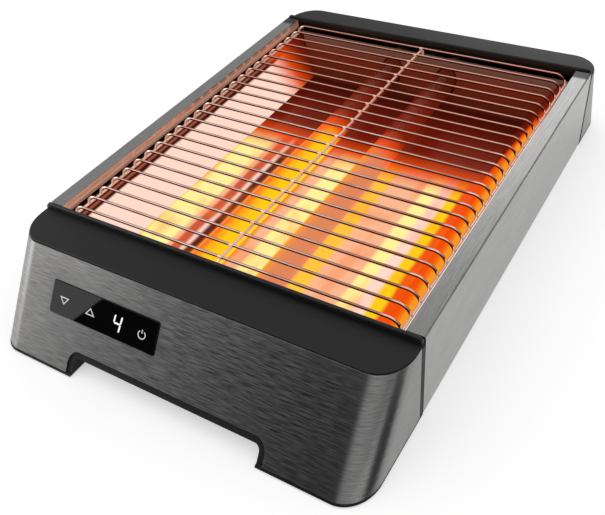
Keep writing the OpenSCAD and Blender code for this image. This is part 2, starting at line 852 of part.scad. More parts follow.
// Thermal fuse on a strap from the rear end plate
module thermal_fuse() {
    x = [-fuse_w / 2, fuse_w / 2];
    low = tube_z - fuse_h / 2;
    color("white") at_rear() {
        block(x, [-fuse_out, -fuse_out + fuse_d], [low, low + fuse_h]);
        block(x, [-fuse_out, plate_y], [low - sheet, low]);
    }
}

module heat_sensor() {
    color("silver") at_front() translate([0, 0, tube_z]) {
        bar_y(sensor_d, plate_y - sensor_reach, plate_y + sensor_reach);
        bar_y(sensor_d * 2, plate_y - holder_flange_t, plate_y);
    }
}

// Insulated leads from crimps on the heater ends to the top of the relay and to the sides of the thermal fuse
module heater_leads() {
    crimp_y = -lead_reach - crimp_len / 2;
    relay_mid = (relay_y[0] + relay_y[1]) / 2;
    relay_high = board_top + relay_h + lead_wire_d / 2 + side_gap;
    relay_entries = [relay_x[0] + lead_wire_d, relay_x[1] - lead_wire_d];
    fuse_mid = -fuse_out + fuse_d / 2;
    color("white") for (i = [0, 1]) {
        start = [(i * 2 - 1) * tube_x, crimp_y, tube_z];
        fuse_side = (i * 2 - 1) * (fuse_w + lead_wire_d) / 2;
        at_both_ends() translate([start[0], 0, tube_z])
            bar_y(lead_d, -lead_reach - crimp_len, -lead_reach - seat_gap);
        at_front() wire_run([start, [relay_entries[i], relay_mid, relay_high]], lead_wire_d);
        at_rear() wire_run([start, [fuse_side, fuse_mid, tube_z]], lead_wire_d);
    }
}

// Mains wires from the terminal block, along the right side, to the transformer
module mains_loom() {
    front_y = front_seam + (transformer_y[0] + transformer_y[1]) / 2;
    rear_y = rear_seam - (terminal_y[0] + terminal_y[1]) / 2;
    color("dimgray") wire_run([[terminal_x[1], rear_y, loom_z], [loom_x, rear_y, loom_z],
        [loom_x, front_y, loom_z], [transformer_x[1], front_y, loom_z]], loom_d);
}

module cable_inlet() {
    color([0.1, 0.1, 0.1]) at_rear() on_face(rear_end, inlet_x, inlet_s) difference() {
        union() {
            translate([0, 0, -inlet_len]) cylinder(d = inlet_d, h = inlet_len);
            cylinder(d = inlet_d + 2 * inlet_flange, h = inlet_flange_t);
        }
        translate([0, 0, -inlet_len - cut])
            cylinder(d = inlet_bore, h = inlet_len + inlet_flange_t + 2 * cut);
    }
}

module rubber_foot() {
    cylinder(d = foot_d, h = foot_h);
    cylinder(d = foot_stem_d, h = foot_h + foot_stem_h);
}

module rubber_feet() {
    color([0.08, 0.08, 0.08]) for (side = [-1, 1]) {
        at_front() translate([side * foot_x, -front_foot_y, 0]) rubber_foot();
        at_rear() translate([side * foot_x, -rear_foot_y, 0]) rubber_foot();
    }
}

// Screws from below through the housing floors, the base plate and the feet of the end plates
module base_screws() {
    head_z = floor_top - floor_t - screw_head_h;
    color("silver") at_both_ends() for (x = screw_xs) translate([x, -screw_y, head_z]) {
        cylinder(d = screw_head_d, h = screw_head_h);
        cylinder(d = screw_d, h = screw_head_h + floor_t + 2 * sheet + cut);
    }
}

module board_screw() {
    cylinder(d = post_d - 1, h = screw_head_h);
    translate([0, 0, -board_t - board_screw_grip])
        cylinder(d = board_screw_d, h = board_t + board_screw_grip + screw_head_h / 2);
}

module board_screws() {
    color("silver") at_front() {
        for (p = board_posts) translate([p[0], p[1], board_top]) board_screw();
        on_face(front_end, glass_x, glass_s) for (p = panel_posts)
            translate([p[0], p[1], -panel_board_depth - board_t]) mirror([0, 0, 1]) board_screw();
    }
}

// Angle rails that the crumb tray runs on
module tray_guides() {
    color("lightgray") at_both_ends() {
        block([-guide_left, tray_half], [tray_y - slide_gap - guide_wall, tray_y + guide_w],
            [base_top, base_top + guide_h]);
        block([-guide_left, tray_half], [tray_y - slide_gap - guide_wall, tray_y - slide_gap],
            [base_top, tray_low + guide_h]);
    }
}

module crumb_tray() {
    left = -half_w + tray_front_d;
    y = [front_seam + tray_y, rear_seam - tray_y];
    color("goldenrod") difference() {
        block([left, tray_half], y, [tray_low, tray_top]);
        block([left + sheet, tray_half - sheet], [y[0] + sheet, y[1] - sheet],
            [tray_low + sheet, tray_top + cut]);
    }
}

module tray_front() {
    color([0.15, 0.15, 0.15]) difference() {
        block([-half_w, -half_w + tray_front_d], [front_seam + tray_y, rear_seam - tray_y],
            [tray_low, tray_top]);
        block([-half_w - cut, -half_w + tray_front_d / 2],
            [(front_seam + rear_seam - notch_w) / 2, (front_seam + rear_seam + notch_w) / 2],
            [tray_low - cut, tray_low + tray_h / 2]);
    }
}

// A cross wire: a ring of corners round each point of its path, joined by triangles
module cross_wire() {
    rings = len(wire_path);
    corners = [for (p = wire_path, k = [0 : wire_sides - 1])
        let (out = wire_d / 2 * cos(360 * k / wire_sides), across = wire_d / 2 * sin(360 * k / wire_sides))
        [p[0] + out * sin(p[2]), across, p[1] + out * cos(p[2])]];
    sides = [for (i = [0 : rings - 2], k = [0 : wire_sides - 1])
        let (a = i * wire_sides + k, b = i * wire_sides + (k + 1) % wire_sides)
        each [[a, a + wire_sides, b], [b, a + wire_sides, b + wire_sides]]];
    ends = [for (k = [1 : wire_sides - 2])
        let (last = (rings - 1) * wire_sides)
        each [[0, k, k + 1], [last, last + k + 1, last + k]]];
    polyhedron(corners, concat(sides, ends));
}

module rack_wires() {
    color("gainsboro") for (i = [0 : wire_count - 1])
        translate([0, front_seam + rack_shift + wire_end + i * wire_pitch, 0]) cross_wire();
}

module rack_rails() {
    color("gainsboro") for (side = [-1, 1]) translate([side * rail_x, rack_shift, rail_z])
        bar_y(rail_d, front_seam + rail_end, rear_seam - rail_end);
}

module rack_rod() {
    bend_y = rod_end + rod_bend_r;
    color("gainsboro") translate([0, rack_shift, 0]) {
        translate([0, 0, rod_z]) bar_y(rail_d, front_seam + bend_y, rear_seam - bend_y);
        at_both_ends() {
            translate([0, bend_y, rod_z - rod_bend_r]) rotate([90, 0, 90]) rotate([0, 0, 90])
                rotate_extrude(angle = 90) translate([rod_bend_r, 0]) circle(d = rail_d);
            translate([0, rod_end, rod_z - rod_bend_r - rod_leg]) cylinder(d = rail_d, h = rod_leg);
        }
    }
}

side_panel_left();
side_panel_right();
base_plate();
front_housing();
front_cover();
front_cap();
rear_housing();
rear_cover();
rear_cap();
front_end_plate();
rear_end_plate();
side_shield_left();
side_shield_right();
side_reflector_left();
side_reflector_right();
end_reflector_front();
end_reflector_rear();
quartz_tube_left();
quartz_tube_right();
heating_element_left();
heating_element_right();
tube_holders();
touch_panel();
display_module();
key_pads();
panel_board();
power_board();
switching_relay();
supply_transformer();
filter_capacitor();
terminal_block();
thermal_fuse();
heat_sensor();
heater_leads();
mains_loom();
cable_inlet();
rubber_feet();
base_screws();
board_screws();
tray_guides();
crumb_tray();
tray_front();
rack_wires();
rack_rails();
rack_rod();
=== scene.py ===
import math

import bmesh
import bpy
from mathutils import Matrix, Vector


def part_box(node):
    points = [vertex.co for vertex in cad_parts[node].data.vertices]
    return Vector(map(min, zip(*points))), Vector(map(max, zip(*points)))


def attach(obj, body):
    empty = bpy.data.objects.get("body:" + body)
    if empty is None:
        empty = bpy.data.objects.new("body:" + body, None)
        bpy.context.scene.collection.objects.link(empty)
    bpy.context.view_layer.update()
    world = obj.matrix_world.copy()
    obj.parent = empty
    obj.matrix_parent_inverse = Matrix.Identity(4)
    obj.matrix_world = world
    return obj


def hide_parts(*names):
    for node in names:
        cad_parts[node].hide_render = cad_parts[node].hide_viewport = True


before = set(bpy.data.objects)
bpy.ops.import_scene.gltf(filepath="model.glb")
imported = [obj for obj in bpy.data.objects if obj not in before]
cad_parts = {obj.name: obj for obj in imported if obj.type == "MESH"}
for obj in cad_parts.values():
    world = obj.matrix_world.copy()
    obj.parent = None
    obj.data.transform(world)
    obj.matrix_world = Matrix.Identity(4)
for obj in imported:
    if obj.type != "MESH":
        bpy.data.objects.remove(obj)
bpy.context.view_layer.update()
scene = bpy.context.scene
scene.view_settings.view_transform = "Standard"

# sizes below are in mm, Blender works in metres
mm = 0.001
perMetre = 1000

# places that several pieces share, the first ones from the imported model
panelLow, panelHigh = [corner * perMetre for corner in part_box("side_panel_right")]
seamGap = 0.3  # at both ends of a side panel
frontSeam = panelLow.y - seamGap
rearSeam = panelHigh.y + seamGap
halfWidth = panelHigh.x
capTop = 57.4

cameraView = {
    "place": (222.3412, frontSeam - 234.1466, 336.0891),
    "yaw": 0.6098,
    "pitch": 0.7206,
    "roll": -0.1053,
    "lens": 46.15,
    "sensor": 36,
    "clip": 0.01,
}


def placeCamera(view):
    side = Vector((math.cos(view["yaw"]), math.sin(view["yaw"]), 0))
    ahead = Vector((-math.sin(view["yaw"]), math.cos(view["yaw"]), 0))
    top = Vector((0, 0, 1))
    forward = ahead * math.cos(view["pitch"]) - top * math.sin(view["pitch"])
    upward = ahead * math.sin(view["pitch"]) + top * math.cos(view["pitch"])
    right = side * math.cos(view["roll"]) + upward * math.sin(view["roll"])
    upward = upward * math.cos(view["roll"]) - side * math.sin(view["roll"])
    data = bpy.data.cameras.new("productCamera")
    data.lens = view["lens"]
    data.sensor_width = view["sensor"]
    data.clip_start = view["clip"]
    camera = bpy.data.objects.new("productCamera", data)
    turn = Matrix((right, upward, -forward)).transposed().to_4x4()
    camera.matrix_world = Matrix.Translation(Vector(view["place"]) * mm) @ turn
    scene.collection.objects.link(camera)
    scene.camera = camera


placeCamera(cameraView)
print("camera placed")


class Value:  # one shader socket: arithmetic on it adds Math nodes
    def __init__(self, bench, socket):
        self.bench = bench
        self.socket = socket

    def run(self, operation, *terms):
        return self.bench.add("ShaderNodeMath", {"operation": operation}, dict(enumerate(terms)))

    def __add__(self, other):
        return self.run("ADD", self, other)

    def __radd__(self, other):
        return self.run("ADD", other, self)

    def __sub__(self, other):
        return self.run("SUBTRACT", self, other)

    def __rsub__(self, other):
        return self.run("SUBTRACT", other, self)

    def __mul__(self, other):
        return self.run("MULTIPLY", self, other)

    def __rmul__(self, other):
        return self.run("MULTIPLY", other, self)

    def __truediv__(self, other):
        return self.run("DIVIDE", self, other)

    def __rtruediv__(self, other):
        return self.run("DIVIDE", other, self)

    def __abs__(self):
        return self.run("ABSOLUTE", self)

    def highest(self, other):
        return self.run("MAXIMUM", self, other)

    def step(self, low, high):  # 0 below low, 1 above high, smooth between
        return self.bench.add("ShaderNodeMapRange", {"interpolation_type": "SMOOTHSTEP"},
                              {"Value": self, "From Min": low, "From Max": high})


class Bench:  # a node tree with one method that adds nodes
    def __init__(self, tree):
        self.tree = tree

    def add(self, kind, settings=None, inputs=None, output=0):
        node = self.tree.nodes.new(kind)
        for name, setting in (settings or {}).items():
            if name == "stops":
                self.setStops(node.color_ramp, setting)
            else:
                setattr(node, name, setting)
        self.feed(node, inputs or {})
        return Value(self, node.outputs[output])

    def setStops(self, ramp, stops):
        ramp.elements.remove(ramp.elements[1])
        ramp.elements[0].position, ramp.elements[0].color = stops[0]
        for position, colour in stops[1:]:
            ramp.elements.new(position).color = colour

    def feed(self, node, inputs):
        for name, value in inputs.items():
            if isinstance(value, Value):
                self.tree.links.new(value.socket, node.inputs[name])
            else:
                node.inputs[name].default_value = value

    def mix(self, factor, first, second):  # 6, 7 and output 2 are the colour sockets
        return self.add("ShaderNodeMix", {"data_type": "RGBA"},
                        {0: factor, 6: first, 7: second}, 2)

    def axis(self, vector, letter):
        return self.add("ShaderNodeSeparateXYZ", None, {0: vector}, letter)

    def stretch(self, vector, factors):
        return self.add("ShaderNodeVectorMath", {"operation": "MULTIPLY"},
                        {0: vector, 1: factors})


class Finish(Bench):  # a material and what its surface varies with
    def __init__(self, name):
        self.material = bpy.data.materials.new(name)
        self.material.use_nodes = True
        Bench.__init__(self, self.material.node_tree)
        self.shader = self.tree.nodes["Principled BSDF"]
        self.place = self.inMm("ShaderNodeTexCoord", "Object")  # on the piece itself

    def inMm(self, kind, output):
        return self.stretch(self.add(kind, output=output), (perMetre, perMetre, perMetre))

    def spot(self):  # place in the room
        return self.inMm("ShaderNodeNewGeometry", "Position")

    def noise(self, size, detail=2):  # blots of one size, or of three along x, y and z
        sizes = size if isinstance(size, tuple) else (size, size, size)
        return self.add("ShaderNodeTexNoise", None, {
            "Vector": self.stretch(self.place, [1 / part for part in sizes]),
            "Scale": 1,
            "Detail": detail,
        })

    def bump(self, height, deep, strength):
        return self.add("ShaderNodeBump", None,
                        {"Strength": strength, "Distance": deep * mm, "Height": height})

    def surface(self, inputs):
        self.feed(self.shader, inputs)
        return self.material


def tint(red, green, blue):  # screen colour, 0 to 255, as a shader colour
    linear = [c / 12.92 if c <= 0.04045 else ((c + 0.055) / 1.055) ** 2.4
              for c in (red / 255, green / 255, blue / 255)]
    return (*linear, 1)


def grey(level):
    return (level, level, level, 1)


# the two ends, whose faces lean: both caps and the streaks of the covers follow these
frontEnd = {"lean": math.radians(35.2), "depth": 29.3, "corner": 17.5,
            "seam": frontSeam, "out": -1}
rearEnd = {"lean": math.radians(22.8), "depth": 26.8, "corner": 19.5,
           "seam": rearSeam, "out": 1}

steelLook = {
    "tint": (1, 0.985, 0.975),
    "detail": 3,
    "detailRough": 0.6,
    "cloud": 60,
    "cloudGain": 0.4,
    "deep": 0.02,
}
coverLook = {
    "colour": 0.31,
    "swing": 0.38,
    "rough": 0.31,
    "roughSwing": 0.18,
    "length": 11,
    "width": 0.55,
    "bump": 0.2,
    "gain": (1.4, 2.8),  # faint and strong streaks
    "left": (-90, 40),  # they grow strong from the left
    "corner": (98, 110),  # and faint again at the right corner
}
sideLook = {
    "colour": 0.42,
    "swing": 0.13,
    "rough": 0.2,
    "roughSwing": 0.1,
    "length": 14,
    "width": 0.7,
    "bump": 0.2,
    "gain": 2.4,
    "flange": 0.08,  # painted highlight: paler top
    "flangeZ": (59.2, 59.6),
    "dim": 0.9,  # shade of the rear bead on it
    "dimEnd": (8, 12),
    "dimColour": grey(0.03),
    "lip": tint(150, 110, 92),  # painted reflection of the well's glow on the lip, as emission
    "lipLevel": 0.7,
    "lipX": (114.8, 115.2),
    "lipZ": (59.2, 59.7),
}


def brushedSteel(name, look, end=None):
    finish = Finish(name)
    x, y, z = [finish.axis(finish.place, letter) for letter in "XYZ"]
    if end:  # streaks run level round the corners
        slope = (capTop - z) * math.tan(end["lean"])
        behind = slope + end["depth"] - (y - end["seam"]) * end["out"]
        along = x + x.run("SIGN", x) * behind
        run = {0: along / look["length"], 2: z / look["width"]}
        faint, strong = look["gain"]
        middle = x.step(*look["left"]) * (1 - x.step(*look["corner"]))
        gain = faint + middle * (strong - faint)
    else:
        run = {0: x / look["width"], 1: y / look["length"], 2: z / look["width"]}
        gain = look["gain"]
    streak = finish.add("ShaderNodeTexNoise", None, {
        "Vector": finish.add("ShaderNodeCombineXYZ", None, run),
        "Scale": 1,
        "Detail": steelLook["detail"],
        "Roughness": steelLook["detailRough"],
    }) - 0.5
    cloud = finish.noise(steelLook["cloud"], detail=1) - 0.5
    tone = (streak * gain + cloud * steelLook["cloudGain"] + 0.5).step(0, 1)
    levels = [look["colour"] * (1 + way * look["swing"]) for way in (-1, 1)]
    dark, light = [(*[level * part for part in steelLook["tint"]], 1) for level in levels]
    colour = finish.mix(tone, dark, light)
    if not end:
        # painted light on the flange tops: a painted highlight makes them paler, and painted shade
        # of the rear bead darkens their rear end
        flange = z.step(*look["flangeZ"])
        dim = 1 - (rearSeam - y).step(*look["dimEnd"])
        colour = finish.mix(flange * look["flange"], colour, grey(1))
        colour = finish.mix(dim * flange * look["dim"], colour, look["dimColour"])
        # painted reflection of the well's glow on the lips, as emission
        lip = (1 - abs(x).step(*look["lipX"])) * (1 - z.step(*look["lipZ"]))
        finish.surface({
            "Emission Color": finish.mix(lip * (look["lipLevel"] + streak), grey(0), look["lip"]),
            "Emission Strength": 1.0,
        })
    return finish.surface({
        "Base Color": colour,
        "Metallic": 1.0,
        "Roughness": look["rough"] + streak * look["roughSwing"],
        "Normal": finish.bump(streak, steelLook["deep"], look["bump"]),
    })


plasticLook = {
    "cloud": 30,
    "swing": 0.15,
    "roughSwing": 0.12,
    # painted shade along the joint below a cap's top
    "jointShade": grey(0.0005),
    "jointRough": 0.95,
    "deep": 0.03,
    "bump": 0.25,
}


def mouldedPlastic(name, colour, rough, gloss, grain=0.35, edge=None):
    look = plasticLook
    finish = Finish(name)
    fine = finish.noise(grain)
    cloud = finish.noise(look["cloud"])
    dark, light = [grey(colour * (1 + way * look["swing"])) for way in (-1, 1)]
    shade = finish.mix(cloud, dark, light)
    dull = rough + (cloud - 0.5) * look["roughSwing"]
    if edge:  # painted shade at the joint with the steel: the plastic below this height is darker and duller
        jointShade = 1 - finish.axis(finish.place, "Z").step(*edge)
        shade = finish.mix(jointShade, shade, look["jointShade"])
        dull = dull + jointShade * (look["jointRough"] - rough)
    return finish.surface({
        "Base Color": shade,
        "Roughness": dull,
        "Specular IOR Level": gloss,
        "Normal": finish.bump(fine, look["deep"], look["bump"]),
    })


glassLook = {
    "colours": (grey(0.0004), grey(0.0010)),
    "rough": 0.012,
    "smear": 9,
    "smearStep": (0.5, 0.8),
    "smearRough": 0.02,
    "ior": 1.55,
}


def panelGlassFinish():
    look = glassLook
    finish = Finish("panelGlass")
    smear = finish.noise(look["smear"], detail=3)
    return finish.surface({
        "Base Color": finish.mix(smear, *look["colours"]),
        "Roughness": look["rough"] + smear.step(*look["smearStep"]) * look["smearRough"],
        "IOR": look["ior"],
    })


printLook = {"speck": 0.6, "faded": 0.92, "under": grey(0.05), "rough": 0.4}


def printedFinish(name, colour, strength):
    look = printLook
    finish = Finish(name)
    faded = (*[part * look["faded"] for part in colour[:3]], 1)
    return finish.surface({
        "Base Color": look["under"],
        "Roughness": look["rough"],
        "Emission Color": finish.mix(finish.noise(look["speck"], detail=1), colour, faded),
        "Emission Strength": strength,
    })


# colours of the glow in the well: the heaters' own glow, and the painted glow, reflections and
# shade on the tray and reflectors
glow = {
    "white": tint(255, 243, 155),
    "yellow": tint(253, 205, 20),
    "gold": tint(253, 198, 63),
    "blush": tint(253, 219, 202),
    "peach": tint(247, 185, 145),
    "amber": tint(244, 152, 36),
    "orange": tint(242, 112, 14),
    "red": tint(238, 78, 8),
    "brick": tint(200, 84, 54),
    "sienna": tint(146, 80, 60),
    "rimHighlight": tint(255, 240, 222),
    "rust": tint(214, 134, 92),
    "brown": tint(88, 66, 58),
    "ember": tint(90, 26, 12),
    "maroon": tint(104, 22, 8),
    "dark": tint(52, 12, 7),
}
# painted warm tint of the well's glow, in the base colour of the tray and reflectors
glowTintSheet = tint(84, 36, 18)
paintedRearShadeLook = {"redBy": 0.6, "maroonFrom": 0.35, "darkAt": 140}


def paintedRearShade(finish, lit, fade, later=0):  # painted shade: the glow darkens through red and maroon towards the rear
    if not fade:
        return lit
    y = finish.axis(finish.spot(), "Y") - later
    start, stop = fade
    redBy, maroonFrom = [start + (stop - start) * paintedRearShadeLook[key] for key in ("redBy", "maroonFrom")]
    warm = finish.mix(y.step(start, redBy), lit, glow["red"])
    cooler = finish.mix(y.step(maroonFrom, stop), warm, glow["maroon"])
    return finish.mix(y.step(stop, paintedRearShadeLook["darkAt"]), cooler, glow["dark"])


# painted glow and reflections of the heaters on the tray floor, as emission in bands across it
trayLook = {
    # left edge of each band
    "bands": [(-100, "yellow"), (-93, "white"), (-71, "peach"), (-67, "brick"), (-60, "blush"),
              (-57, "ember"), (-51, "amber"), (-24, "peach"), (-16, "white"), (-1, "rust"),
              (20, "gold"), (31, "peach"), (54, "white"), (64, "blush"), (72, "yellow"),
              (79.5, "red")],
    "half": 100,
    "edge": 1.2,
    "fade": (20, 70),
    "wave": (25, 40, 1),
    "waveReach": 4,
    "blot": (16, 34, 1),
    "blotStep": (0.45, 0.7),
    "blotGain": 0.35,
    "left": (-98, -94),  # the glow ends here, so that a pulled tray is cold
    "right": (97, 101),
    "speck": 4,
    "cold": (grey(0.3), grey(0.4)),
    "glowTinted": (glowTintSheet, tint(70, 30, 16)),
    "rough": 0.32,
    "roughSwing": 0.2,
}


def paintedGlowTray():
    look = trayLook
    finish = Finish("paintedGlowTray")
    x = finish.axis(finish.spot(), "X")
    half, edge = look["half"], look["edge"]
    stops = []
    for i, (start, colour) in enumerate(look["bands"]):
        if i:  # soft edge between two bands
            stops.append(((start - edge + half) / (2 * half), glow[look["bands"][i - 1][1]]))
        stops.append(((start + edge + half) / (2 * half), glow[colour]))
    wave = (finish.noise(look["wave"]) - 0.5) * look["waveReach"]
    bands = finish.add("ShaderNodeValToRGB", {"stops": stops}, {0: (x + wave + half) / (2 * half)})
    blot = finish.noise(look["blot"]).step(*look["blotStep"])
    inside = x.step(*look["left"]) * (1 - x.step(*look["right"]))
    speck = finish.noise(look["speck"], detail=3)
    cold = finish.mix(speck, *look["cold"])
    glowTinted = finish.mix(speck, *look["glowTinted"])
    blotted = finish.mix(blot * look["blotGain"], bands, glow["orange"])
    # painted glow and reflections as emission, and the painted warm tint in the base colour, only
    # inside the well
    return finish.surface({
        "Base Color": finish.mix(inside, cold, glowTinted),
        "Metallic": 1.0,
        "Roughness": look["rough"] + (speck - 0.5) * look["roughSwing"],
        "Emission Color": finish.mix(inside, grey(0), paintedRearShade(finish, blotted, look["fade"])),
        "Emission Strength": 1.0,
    })


# painted glow, reflections and shade on the reflectors, as emission, with painted shadow lines
# along the left rim
# stops from the lower edge of a reflector to the outside of its rim, which starts at 0.75
reflectorLook = {
    "left": {"stops": [(0, "blush"), (0.68, "blush"), (0.71, "dark"), (0.74, "dark"),
                       (0.77, "sienna"), (0.84, "sienna"), (0.87, "dark")],
             "fade": (82, 130), "later": 0},
    # the last stop is a painted highlight along the rim
    "right": {"stops": [(0, "red"), (0.3, "red"), (0.55, "orange"), (0.74, "amber"),
                        (0.9, "amber"), (0.94, "rimHighlight")],
              "fade": (12, 62), "later": 62},  # fades later at the rim
    "front": {"stops": [(0, "amber"), (0.5, "yellow"), (0.8, "white")], "fade": None, "later": 0},
    "rear": {"stops": [(0, "dark"), (0.5, "ember"), (0.78, "brown")], "fade": None, "later": 0},
}
reflectorSheet = {
    "reach": 24.0,
    "wave": (12, 30, 6),
    "waveGain": 0.06,
    "colours": (glowTintSheet, tint(64, 28, 16)),
    "sheen": tint(150, 44, 12),
    "rough": 0.42,
    "roughSwing": 0.2,
}


def paintedGlowReflector(where):
    look, sheet = reflectorLook[where], reflectorSheet
    finish = Finish(where + "Reflector")
    if where in ("front", "rear"):
        prefix, letter = "end_reflector_", "Y"
    else:
        prefix, letter = "side_reflector_", "X"
    low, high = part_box(prefix + where)
    corner = high if where in ("left", "front") else low  # nearest the middle of the well
    inner = corner["XYZ".index(letter)] * perMetre
    out = abs(finish.axis(finish.place, letter) - inner) / sheet["reach"]
    wave = finish.noise(sheet["wave"]) - 0.5
    stops = [(start, glow[colour]) for start, colour in look["stops"]]
    lit = finish.add("ShaderNodeValToRGB", {"stops": stops}, {0: out + wave * sheet["waveGain"]})
    return finish.surface({
        "Base Color": finish.mix(wave + 0.5, *sheet["colours"]),
        "Metallic": 1.0,
        "Roughness": sheet["rough"] + wave * sheet["roughSwing"],
        "Specular Tint": sheet["sheen"],
        "Emission Color": paintedRearShade(finish, lit, look["fade"], out * look["later"]),
        "Emission Strength": 1.0,
    })


quartzLook = {
    "left": {"near": "yellow", "away": "orange", "fade": (15, 60)},
    "right": {"near": "amber", "away": "rust", "fade": (5, 50)},
    "innerX": 14,
    "width": 17,
    "cloud": (3, 8, 3),
    "cloudGain": 0.3,
    "turn": (0.1, 0.7),
    "colour": tint(96, 34, 12),
    "rough": 0.12,
    "roughSwing": 0.1,
    "ior": 1.2,
    "clear": 0.2,
    "strength": 0.95,
}


def quartzFinish(where):
    look, own = quartzLook, quartzLook[where]
    finish = Finish(where + "Quartz")
    across = (abs(finish.axis(finish.place, "X")) - look["innerX"]) / look["width"]
    cloud = finish.noise(look["cloud"])
    turn = (across + (cloud - 0.5) * look["cloudGain"]).step(*look["turn"])
    lit = finish.mix(turn, glow[own["near"]], glow[own["away"]])
    return finish.surface({
        "Base Color": look["colour"],
        "Roughness": look["rough"] + cloud * look["roughSwing"],
        "IOR": look["ior"],
        "Transmission Weight": look["clear"],
        "Emission Color": paintedRearShade(finish, lit, own["fade"]),
        "Emission Strength": look["strength"],
    })


coilHeat = {"colour": tint(90, 50, 30), "cloud": 6, "rough": 0.5, "roughSwing": 0.2,
            "fade": (25, 70), "strength": 1.2}


def coilFinish():
    look = coilHeat
    finish = Finish("glowingCoil")
    cloud = finish.noise(look["cloud"])
    lit = finish.mix(cloud, glow["white"], glow["gold"])
    return finish.surface({
        "Base Color": look["colour"],
        "Roughness": look["rough"] + cloud * look["roughSwing"],
        "Emission Color": paintedRearShade(finish, lit, look["fade"]),
        "Emission Strength": look["strength"],
    })


# painted light on the wires: highlights, brown shade below, the well's glow reflected in them, and
# a pale painted glow on legs, rails and rod
wireLook = {
    "top": tint(250, 224, 210),
    "topWarm": tint(232, 188, 170),
    "warm": 14,
    "warmStep": (0.4, 0.68),
    "rosy": tint(228, 176, 156),  # towards the rear
    "rosyY": (0, 60),
    "dull": tint(158, 92, 70),  # on the right, before the bends
    "dullX": (10, 90),
    "dullEnd": (97, 101),
    "dullY": (-20, 60),
    "dullGain": 0.8,
    "under": tint(104, 34, 17),
    "upper": (0.5, 0.78),
    "pale": tint(150, 122, 110),
    "legX": (-106, -103),
    "railX": (109.2, 109.6),
    "rodX": (1.0, 1.4),
    "cold": tint(222, 220, 217),
    "coldZ": (62, 75),  # the glow reaches the rack only in its place
    "sheen": tint(190, 120, 90),
    "fine": (2, 0.6, 0.6),
    "rough": 0.22,
    "roughSwing": 0.15,
}


def chromeWire():  # painted highlight above, painted brown shade below
    look = wireLook
    finish = Finish("rackChrome")
    up = finish.axis(finish.add("ShaderNodeNewGeometry", output="Normal"), "Z")
    x, y = [finish.axis(finish.place, letter) for letter in "XY"]
    warm = finish.noise(look["warm"], detail=3).step(*look["warmStep"])
    bright = finish.mix(warm, look["top"], look["topWarm"])
    bright = finish.mix(y.step(*look["rosyY"]), bright, look["rosy"])
    duller = x.step(*look["dullX"]) * (1 - x.step(*look["dullEnd"])) * (1 - y.step(*look["dullY"]))
    bright = finish.mix(duller * look["dullGain"], bright, look["dull"])
    # painted highlight on legs, rails and rod, as emission
    legs, rails = 1 - x.step(*look["legX"]), x.step(*look["railX"])
    rod = 1 - abs(x).step(*look["rodX"])
    pale = legs.highest(rails).highest(rod)
    low = 1 - finish.axis(finish.spot(), "Z").step(*look["coldZ"])
    paintedLightAndShade = finish.mix((up + pale).step(*look["upper"]), look["under"], bright)
    return finish.surface({
        "Base Color": finish.mix(low, look["cold"], paintedLightAndShade),
        "Metallic": 1.0,
        "Specular Tint": look["sheen"],
        "Emission Color": finish.mix(pale * low, grey(0), look["pale"]),
        "Emission Strength": 1.0,
        "Roughness": look["rough"] + (finish.noise(look["fine"]) - 0.5) * look["roughSwing"],
    })


sheetLook = {"grain": (6, 0.6, 2), "roughSwing": 0.2, "deep": 0.02, "bump": 0.2}
castLook = {"cloud": 5, "grain": 0.5, "roughSwing": 0.15, "deep": 0.03, "bump": 0.25}


def sheetMetal(name, dark, light, rough):
    finish = Finish(name)
    grain = finish.noise(sheetLook["grain"], detail=3)
    return finish.surface({
        "Base Color": finish.mix(grain, dark, light),
        "Metallic": 1.0,
        "Roughness": rough + (grain - 0.5) * sheetLook["roughSwing"],
        "Normal": finish.bump(grain, sheetLook["deep"], sheetLook["bump"]),
    })


def castPiece(name, dark, light, rough):
    finish = Finish(name)
    cloud = finish.noise(castLook["cloud"], detail=3)
    fine = finish.noise(castLook["grain"])
    return finish.surface({
        "Base Color": finish.mix(cloud, dark, light),
        "Roughness": rough + (cloud - 0.5) * castLook["roughSwing"],
        "Normal": finish.bump(fine, castLook["deep"], castLook["bump"]),
    })


frontSteel = brushedSteel("frontSteel", coverLook, frontEnd)
rearSteel = brushedSteel("rearSteel", coverLook, rearEnd)
sideSteel = brushedSteel("sideSteel", sideLook)
capPlastic = mouldedPlastic("capPlastic", colour=0.006, rough=0.46, gloss=0.4, edge=(56.95, 57.25))
housingPlastic = mouldedPlastic("housingPlastic", colour=0.007, rough=0.5, gloss=0.28)
rubber = mouldedPlastic("footRubber", colour=0.008, rough=0.75, gloss=0.4, grain=0.6)
panelGlass = panelGlassFinish()
iconPrint = printedFinish("iconPrint", tint(205, 205, 205), strength=1.0)
digitLight = printedFinish("digitLight", tint(255, 255, 255), strength=1.05)
rackChrome = chromeWire()
trayGlow = paintedGlowTray()
coilGlow = coilFinish()
quartzLeft = quartzFinish("left")
quartzRight = quartzFinish("right")
plated = sheetMetal("platedSheet", grey(0.42), grey(0.55), rough=0.38)
sootedSheet = sheetMetal("sootedSheet", tint(34, 27, 24), tint(50, 40, 35), rough=0.5)
screwSteel = sheetMetal("screwSteel", grey(0.35), grey(0.5), rough=0.3)
contactMetal = sheetMetal("contactMetal", tint(190, 150, 80), tint(215, 180, 110), rough=0.35)
ceramic = castPiece("holderCeramic", tint(74, 62, 54), tint(92, 78, 68), rough=0.6)
board = castPiece("boardGreen", tint(22, 70, 40), tint(30, 86, 50), rough=0.45)
partCase = castPiece("partCase", tint(36, 40, 60), tint(48, 52, 74), rough=0.4)
displayCase = castPiece("displayCase", tint(40, 40, 42), tint(52, 52, 54), rough=0.5)
wireSleeve = castPiece("wireSleeve", tint(200, 195, 185), tint(215, 210, 200), rough=0.6)
print("finishes made")


